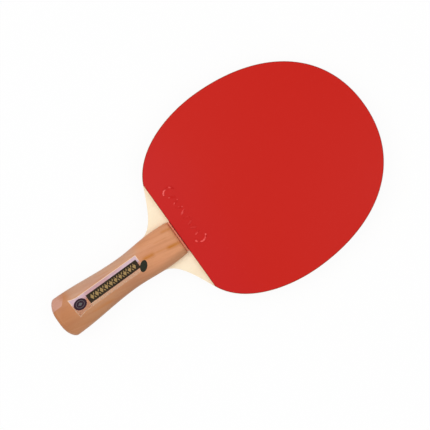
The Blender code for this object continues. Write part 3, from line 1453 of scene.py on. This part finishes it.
@dataclass
class Rubber:
    """The rubber of one face: a sponge, and a topsheet with pips on its inner side."""

    side: Face
    head: HeadShape
    sheet: SheetRubber
    slot: str
    foam: Foam = Foam("sponge_foam", screen(232, 198, 140), screen(176, 132, 78))
    pip_diameter: float = 0.0017
    pip_tip_diameter: float = 0.0015
    pip_height: float = 0.0009
    pip_root: float = 0.00012
    pip_pitch: float = 0.0025
    pip_turn: float = math.radians(7.0)
    pip_sides: int = 8
    least_sliver: float = 0.4
    edge: float = 0.00045
    sponge_edge: float = 0.0001125
    relief_rows: bool = True

    def build(self) -> None:
        """Build and dress the sponge and the topsheet."""
        node = f"{self.side.word}_sponge"
        low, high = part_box(node)
        sponge = self.head.rubber_face()
        slab(sponge, low.z, high.z)
        ease_edges(sponge, low.z, self.sponge_edge, 1)
        ease_edges(sponge, high.z, self.sponge_edge, 1)
        finish_piece(f"{node}_foam", sponge, self.foam.make(), (node,))
        self.topsheet()

    def topsheet(self) -> None:
        """Build the topsheet as it lies on the front, and turn it over if it is the back's."""
        node = f"{self.side.word}_topsheet"
        heights = sorted(abs(corner.z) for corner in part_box(node))
        bm = self.head.rubber_face()
        rim = Rim([vert.co.to_2d() for vert in bm.faces[:][0].verts])
        slab(bm, heights[0] + self.pip_height, heights[1])
        ease_edges(bm, heights[1], self.edge)
        self.add_pips(bm, rim, heights[0])
        if self.relief_rows:
            Relief(heights[1]).add(bm)
        if self.side is Face.BACK:
            flip_over(bm)
            bmesh.ops.recalc_face_normals(bm, faces=bm.faces)
        finish_piece(f"{node}_rubber", bm, self.sheet.make(), (node,))

    def add_pips(self, bm: bmesh.types.BMesh, rim: Rim, low: float) -> None:
        """Add the field of pips row by row, those on the rim cut along it.

        Args:
            bm: The topsheet's mesh.
            rim: The topsheet's outline.
            low: The height of the pips' tips.
        """
        for places in self.lattice(rim.points):
            row = bmesh.new()
            for place in places:
                self.add_pip(row, rim, place, low)
            pour(row, bm)

    def lattice(self, rim: list[Vector]) -> list[list[Vector]]:
        """Return the places of a close-packed, slightly turned field of pips.

        Args:
            rim: The outline that the field covers.

        Returns:
            The pips' middles, row by row.
        """
        middle = Vector((0.0, sum(point.y for point in rim) / len(rim)))
        reach = max((point - middle).length for point in rim) + self.pip_pitch
        row_step = self.pip_pitch * math.sqrt(3) / 2
        count, row_count = math.ceil(reach / self.pip_pitch), math.ceil(reach / row_step)
        turn = Matrix.Rotation(self.pip_turn, 2)
        rows = []
        for row in range(-row_count, row_count + 1):
            shift = row % 2 / 2
            places = [((i + shift) * self.pip_pitch, row * row_step) for i in range(-count, count)]
            rows.append([middle + turn @ Vector(place) for place in places])
        return rows

    def add_pip(self, row: bmesh.types.BMesh, rim: Rim, place: Vector, low: float) -> None:
        """Add one pip to its row, cut along the rim or left out where it lies past it.

        Args:
            row: The row's mesh.
            rim: The topsheet's outline.
            place: The pip's middle.
            low: The height of its tip.
        """
        near, ways_out = rim.nearest(place)
        depth = min((near - place).dot(outward) for outward in ways_out)
        radius = self.pip_diameter / 2
        if depth > radius:
            self.pip(row, place, low)
        elif depth > -radius * self.least_sliver:
            pip = bmesh.new()
            self.pip(pip, place, low)
            for outward in ways_out:
                self.cut(pip, near, outward)
            pour(pip, row)

    def pip(self, bm: bmesh.types.BMesh, place: Vector, low: float) -> None:
        """Add one whole pip, its tip down.

        Args:
            bm: The mesh that it is added to.
            place: Its middle.
            low: The height of its tip.
        """
        height = self.pip_height + self.pip_root
        bmesh.ops.create_cone(
            bm,
            cap_ends=True,
            segments=self.pip_sides,
            radius1=self.pip_tip_diameter / 2,
            radius2=self.pip_diameter / 2,
            depth=height,
            matrix=Matrix.Translation((place.x, place.y, low + height / 2)),
        )

    @staticmethod
    def cut(bm: bmesh.types.BMesh, near: Vector, outward: Vector) -> None:
        """Cut a pip off along the rim and close the cut.

        Args:
            bm: The pip's mesh.
            near: A point of the rim.
            outward: The way out across the rim there.
        """
        geometry = bm.verts[:] + bm.edges[:] + bm.faces[:]
        bmesh.ops.bisect_plane(
            bm, geom=geometry, plane_co=near.to_3d(), plane_no=outward.to_3d(), clear_outer=True
        )
        bmesh.ops.holes_fill(bm, edges=[edge for edge in bm.edges if edge.is_boundary], sides=0)


@dataclass
class SeamBead:
    """A bead that fills the slot between the front scale and the front rubber.

    Its salmon colour is painted light: pale wood lit and tinted by red light off the rubber.
    """

    half_length: float = 0.0122
    clearance: float = 0.00012
    height: float = 0.0027
    rounding: float = 0.00045
    # Salmon colour: painted light, pale wood tinted by red light bounced off the rubber.
    painted_bounce: Foam = Foam("seam_bead_bounce", screen(255, 164, 132), screen(232, 128, 100))

    def build(self) -> None:
        """Build and dress the bead."""
        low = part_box("front_sponge")[0]
        start, end = SCALE_HIGH.y + self.clearance, low.y - self.clearance
        place = at((0.0, (start + end) / 2)) @ flat_size(2 * self.half_length, end - start)
        bm = bmesh.new()
        bmesh.ops.create_grid(bm, x_segments=1, y_segments=1, size=0.5, matrix=place)
        slab(bm, low.z, low.z + self.height)
        ease_edges(bm, low.z + self.height, self.rounding)
        finish_piece("front_seam_bead", bm, self.painted_bounce.make())


@dataclass
class Relief:
    """A moulded ornament on the topsheet by its cut: grains in a row between two arcs."""

    top: float
    middle: Place = (-0.0100, 0.1154)
    grain_count: int = 8
    grain_pitch: float = 0.0043
    grain_size: Point = (0.00078, 0.0026, 0.00042)
    grain_segments: tuple[int, int] = (16, 10)
    lean: float = math.radians(24)
    arc_radius: float = 0.0044
    arc_wire: float = 0.00066
    arc_angle: float = math.radians(150)
    arc_reach: float = 0.0180
    arc_steps: int = 24
    wire_sides: int = 10
    sink: float = 0.00036

    def add(self, bm: bmesh.types.BMesh) -> None:
        """Add the ornament to a topsheet.

        Args:
            bm: The topsheet's mesh.
        """
        ornament = bmesh.new()
        for index in range(self.grain_count):
            offset = index - (self.grain_count - 1) / 2
            lean = self.lean if index % 2 else -self.lean
            self.grain(ornament, offset * self.grain_pitch, lean)
        for way in (1, -1):
            self.arc(ornament, way)
        pour(ornament, bm)

    def grain(self, bm: bmesh.types.BMesh, offset: float, lean: float) -> None:
        """Add one low rounded grain.

        Args:
            bm: The ornament's mesh.
            offset: Its place along the row.
            lean: How far it leans to the side.
        """
        place = Matrix.Translation((self.middle[0] + offset, self.middle[1], self.top))
        turn = Matrix.Rotation(lean, 4, "Z")
        size = Matrix.Diagonal((*self.grain_size, 1.0))
        around, rows = self.grain_segments
        bmesh.ops.create_uvsphere(
            bm, u_segments=around, v_segments=rows, radius=1.0, matrix=place @ turn @ size
        )

    def arc(self, bm: bmesh.types.BMesh, way: int) -> None:
        """Add one bracket-shaped arc at an end of the row.

        Args:
            bm: The ornament's mesh.
            way: 1 for the end at +X and -1 for the other.
        """
        centre = Vector((self.middle[0] + way * self.arc_reach, self.middle[1], self.top))
        start = centre + Vector((way * self.arc_radius, 0.0, self.arc_wire / 2 - self.sink))
        ring = bmesh.ops.create_circle(
            bm,
            cap_ends=True,
            segments=self.wire_sides,
            radius=self.arc_wire,
            matrix=Matrix.Translation(start) @ Matrix.Rotation(math.pi / 2, 4, "X"),
        )["verts"]
        bmesh.ops.rotate(
            bm, verts=ring, cent=centre, matrix=Matrix.Rotation(-self.arc_angle / 2, 3, "Z")
        )
        faces = list({face for vert in ring for face in vert.link_faces})
        edges = list({edge for vert in ring for edge in vert.link_edges})
        bmesh.ops.spin(
            bm,
            geom=faces + edges + ring,
            cent=centre,
            axis=(0.0, 0.0, 1.0),
            angle=self.arc_angle,
            steps=self.arc_steps,
            use_merge=False,
        )


@dataclass
class GripPrint:
    """The printed film on the front of the grip: a pearly film, a dark bar and marks."""

    shape: GripShape
    film_corners: tuple[Place, ...] = (
        (-0.0069, 0.0138), (0.0048, 0.0147), (0.0048, 0.0709), (-0.0070, 0.0709),
    )
    film_flare: Place = (0.0017, 0.0065)
    film_flare_power: float = 1.5
    film_grid: tuple[int, int] = (14, 40)
    film_thickness: float = 0.00003
    ink_step: float = 0.00001
    bar_start: Place = (-0.0008, 0.02625)
    bar_end: Place = (-0.0011, 0.06925)
    bar_width: float = 0.0066
    bar_grid: tuple[int, int] = (6, 30)
    mark_count: int = 10
    mark_margin: float = 0.0015
    mark_lozenge: Place = (0.0021, 0.0013)
    mark_stroke: Place = (0.0012, 0.00042)
    stroke_lean: float = math.radians(28)
    oval_grid: int = 12
    disc_place: Place = (-0.0013, 0.01985)
    disc_size: Place = (0.0039, 0.00495)
    disc_lozenge: Place = (0.0012, 0.0018)
    ring_reach: float = 0.66
    ring_width: float = 0.00034
    ring_sides: int = 48
    end_place: Place = (0.0027, 0.07135)
    end_size: Place = (0.0043, 0.0025)
    end_turn: float = math.radians(-45)
    film: PearlFilm = PearlFilm("grip_film")
    ink: Print = Print("dark_ink", screen(34, 24, 8), screen(62, 46, 18))
    green: Print = Print("green_ink", screen(24, 28, 16), screen(46, 50, 30))
    gold: Print = Print("gold_ink", screen(164, 134, 84), screen(112, 90, 52), 0.30)
    plum: Print = Print("plum_ink", screen(38, 12, 30), screen(58, 30, 46))
    silver: Print = Print("silver_ink", screen(98, 94, 94), screen(72, 68, 70))

    def build(self) -> None:
        """Build and dress the film and its inks, each above what lies under it."""
        layers = (
            ("grip_film", self.film_sheet(), self.film, 0),
            ("grip_bar", self.bar(), self.ink, 1),
            ("grip_disc", self.oval(at(self.disc_place), self.disc_size), self.plum, 1),
            ("grip_end_oval", self.end_oval(), self.green, 1),
            ("grip_bar_marks", self.marks(), self.gold, 2),
            ("grip_disc_ring", self.disc_ring(), self.silver, 2),
        )
        for name, bm, finish, level in layers:
            self.layer(name, bm, finish.make(), level)

    def layer(
        self, name: str, bm: bmesh.types.BMesh, material: bpy.types.Material, level: int
    ) -> None:
        """Lay a flat print on the grip's crown and give it its thickness.

        Args:
            name: The piece's name.
            bm: The flat print, facing up.
            material: Its ink.
            level: How many layers lie under it.
        """
        for vert in bm.verts:
            height = self.shape.surface(vert.co.x, vert.co.y)
            vert.co.z = SCALE_LOW.z + height + self.film_thickness + level * self.ink_step
        bmesh.ops.recalc_face_normals(bm, faces=bm.faces)
        if bm.faces[:][0].normal.z < 0:
            bmesh.ops.reverse_faces(bm, faces=bm.faces)
        thickness = self.film_thickness + self.ink_step * level
        bmesh.ops.solidify(bm, geom=bm.faces[:], thickness=thickness)
        bmesh.ops.recalc_face_normals(bm, faces=bm.faces)
        finish_piece(name, bm, material)

    def film_sheet(self) -> bmesh.types.BMesh:
        """Return the film as a grid drawn to its four corners."""
        butt_left, butt_right, neck_right, neck_left = (Vector(c) for c in self.film_corners)
        wide, long = self.film_grid
        bm = bmesh.new()
        bm.loops.layers.uv.new(FILM_MAP)
        bmesh.ops.create_grid(bm, x_segments=wide, y_segments=long, size=0.5, calc_uvs=True)
        for vert in bm.verts:
            across, along = vert.co.x + 0.5, vert.co.y + 0.5
            butt = butt_left.lerp(butt_right, across)
            neck = neck_left.lerp(neck_right, across)
            vert.co = butt.lerp(neck, along).to_3d()
            spread, reach = self.film_flare
            near = max(1 - (vert.co.y - butt.y) / reach, 0.0)
            vert.co.x += (across - 0.5) * 2 * spread * near ** self.film_flare_power
        return bm

    def along_bar(self) -> Matrix:
        """Return the place and the turn of the bar's middle."""
        start, end = Vector(self.bar_start), Vector(self.bar_end)
        way = end - start
        return at((start + end) / 2) @ Matrix.Rotation(-math.atan2(way.x, way.y), 4, "Z")

    def bar_length(self) -> float:
        """Return the bar's length."""
        return (Vector(self.bar_end) - Vector(self.bar_start)).length

    def bar(self) -> bmesh.types.BMesh:
        """Return the dark bar."""
        place = self.along_bar() @ flat_size(self.bar_width, self.bar_length())
        wide, long = self.bar_grid
        bm = bmesh.new()
        bmesh.ops.create_grid(bm, x_segments=wide, y_segments=long, size=0.5, matrix=place)
        return bm

    def marks(self) -> bmesh.types.BMesh:
        """Return a row of lozenges, with a pair of thin slanted strokes between each two."""
        bm = bmesh.new()
        bar = self.along_bar()
        pitch = (self.bar_length() - 2 * self.mark_margin) / self.mark_count
        for index in range(self.mark_count):
            offset = (index - (self.mark_count - 1) / 2) * pitch
            self.lozenge(bm, bar @ at((0.0, offset)), self.mark_lozenge)
            if not index:
                continue
            for side in (1, -1):
                stroke = bar @ at((0.0, offset - pitch / 2)) @ at((side * self.mark_stroke[0], 0.0))
                lean = Matrix.Rotation(side * self.stroke_lean, 4, "Z")
                self.lozenge(bm, stroke @ lean, self.mark_stroke)
        return bm

    @staticmethod
    def lozenge(bm: bmesh.types.BMesh, place: Matrix, size: Place) -> None:
        """Add one lozenge.

        Args:
            bm: The mesh that it is added to.
            place: Its middle and its turn.
            size: Half its width and half its length.
        """
        matrix = place @ flat_size(*size)
        bmesh.ops.create_circle(
            bm, cap_ends=True, cap_tris=True, segments=4, radius=1.0, matrix=matrix
        )

    def end_oval(self) -> bmesh.types.BMesh:
        """Return the dark oval at the film's neck end."""
        turn = Matrix.Rotation(self.end_turn, 4, "Z")
        return self.oval(at(self.end_place) @ turn, self.end_size)

    def oval(self, place: Matrix, size: Place) -> bmesh.types.BMesh:
        """Return an oval as a grid whose sides are drawn out to its rim.

        Args:
            place: Its middle and its turn.
            size: Half its width and half its length.

        Returns:
            The oval, flat.
        """
        bm = bmesh.new()
        count = self.oval_grid
        bmesh.ops.create_grid(bm, x_segments=count, y_segments=count, size=1.0)
        for vert in bm.verts:
            u, v = vert.co.x, vert.co.y
            round_u, round_v = u * math.sqrt(1 - v * v / 2), v * math.sqrt(1 - u * u / 2)
            vert.co = place @ Vector((size[0] * round_u, size[1] * round_v, 0.0))
        return bm

    def disc_ring(self) -> bmesh.types.BMesh:
        """Return a thin ring on the disc with a lozenge in it."""
        bm = bmesh.new()
        place = at(self.disc_place)
        matrix = place @ flat_size(*(half * self.ring_reach for half in self.disc_size))
        bmesh.ops.create_circle(
            bm, cap_ends=True, segments=self.ring_sides, radius=1.0, matrix=matrix
        )
        rim = bmesh.ops.inset_region(
            bm, faces=bm.faces[:], thickness=self.ring_width, use_boundary=True
        )
        inner = [face for face in bm.faces if face not in rim["faces"]]
        bmesh.ops.delete(bm, geom=inner, context="FACES")
        self.lozenge(bm, place, self.disc_lozenge)
        return bm


@dataclass(frozen=True)
class Softbox:
    """A square lamp: where it hangs, how wide it is and its power in watts."""

    name: str
    place: Point
    size: float
    power: float


@dataclass
class Studio:
    """A white floor, soft lamps and the camera above the racket."""

    camera_place: Point = (0.00264, 0.13260, 1.6)
    camera_turn: float = math.radians(54.455)
    lens: float = 190.40
    world_light: float = 0.61
    floor_size: float = 6.0
    lamps: tuple[Softbox, ...] = (
        Softbox("key_softbox", (-0.85, -0.72, 2.10), 1.6, 18.5),
        Softbox("fill_softbox", (0.85, 0.98, 2.10), 1.6, 12.5),
    )
    aim: Point = (0.0, 0.13, 0.0)

    def build(self) -> None:
        """Build the floor, the lamps, the world and the camera."""
        self.floor()
        for lamp in self.lamps:
            self.hang(lamp)
        self.world()
        self.camera()

    def floor(self) -> None:
        """Lay the floor under the racket's lowest point."""
        bm = bmesh.new()
        bmesh.ops.create_grid(bm, x_segments=1, y_segments=1, size=self.floor_size / 2)
        bmesh.ops.translate(bm, verts=bm.verts, vec=(0.0, 0.0, CAD_BOX[0].z))
        floor = mesh_object("floor", bm, StudioFloor().make())

    def hang(self, lamp: Softbox) -> None:
        """Hang one lamp so that it faces the racket.

        Args:
            lamp: The lamp.
        """
        data = bpy.data.lights.new(lamp.name, "AREA")
        data.shape = "SQUARE"
        data.size = lamp.size
        data.energy = lamp.power
        hung = new_object(lamp.name, data)
        hung.location = lamp.place
        way = Vector(self.aim) - hung.location
        hung.rotation_euler = way.to_track_quat("-Z", "Y").to_euler()

    def world(self) -> None:
        """Light the racket evenly, with plain white behind it."""
        world = bpy.data.worlds.new("studio")
        world.use_nodes = True
        bpy.context.scene.world = world
        recipe = Recipe(world.node_tree)
        background = world.node_tree.nodes["Background"]
        recipe.feed(background, "Color", WHITE)
        strength = self.world_light + (1 - self.world_light) * recipe.looking()
        recipe.feed(background, "Strength", strength)

    def camera(self) -> None:
        """Set the camera straight above the racket, turned as the photograph is."""
        data = bpy.data.cameras.new("camera")
        data.lens = self.lens
        camera = new_object("camera", data)
        camera.location = self.camera_place
        camera.rotation_euler.z = self.camera_turn
        bpy.context.scene.camera = camera
        bpy.context.scene.view_settings.view_transform = "Standard"


def main() -> None:
    """Build the racket and its studio, and report each piece."""
    logging.basicConfig(level=logging.INFO, format="%(name)s: %(message)s")
    head, grip = HeadShape(), GripShape()
    red = SheetRubber(
        "red_rubber",
        colour=screen(198, 32, 22),
        near_cut=Tint(screen(197, 32, 28)),
        # The rim tint is painted shade on the rounded rim.
        rim=Tint(screen(96, 18, 24), 0.8),
        # The glint tint is painted highlight on the raised marks.
        painted_glint=Tint(screen(246, 92, 88), 0.8),
        dust=Tint(screen(230, 200, 190), 0.04),
    )
    black = SheetRubber(
        "black_rubber",
        colour=screen(22, 22, 24),
        near_cut=NO_TINT,
        # Painted shade on the rounded rim.
        rim=Tint(screen(14, 14, 15), 0.8),
        # The glint tint is painted highlight; this sheet has no raised marks.
        painted_glint=Tint(screen(60, 60, 62), 0.8),
        dust=Tint(screen(150, 150, 150), 0.04),
    )
    Studio().build()
    Blade(head, grip).build()
    Grip(grip).build()
    GripPrint(grip).build()
    Rubber(Face.FRONT, head, red, "red_rubber").build()
    Rubber(Face.BACK, head, black, "black_rubber", relief_rows=False).build()
    SeamBead().build()


if __name__ == "__main__":
    main()
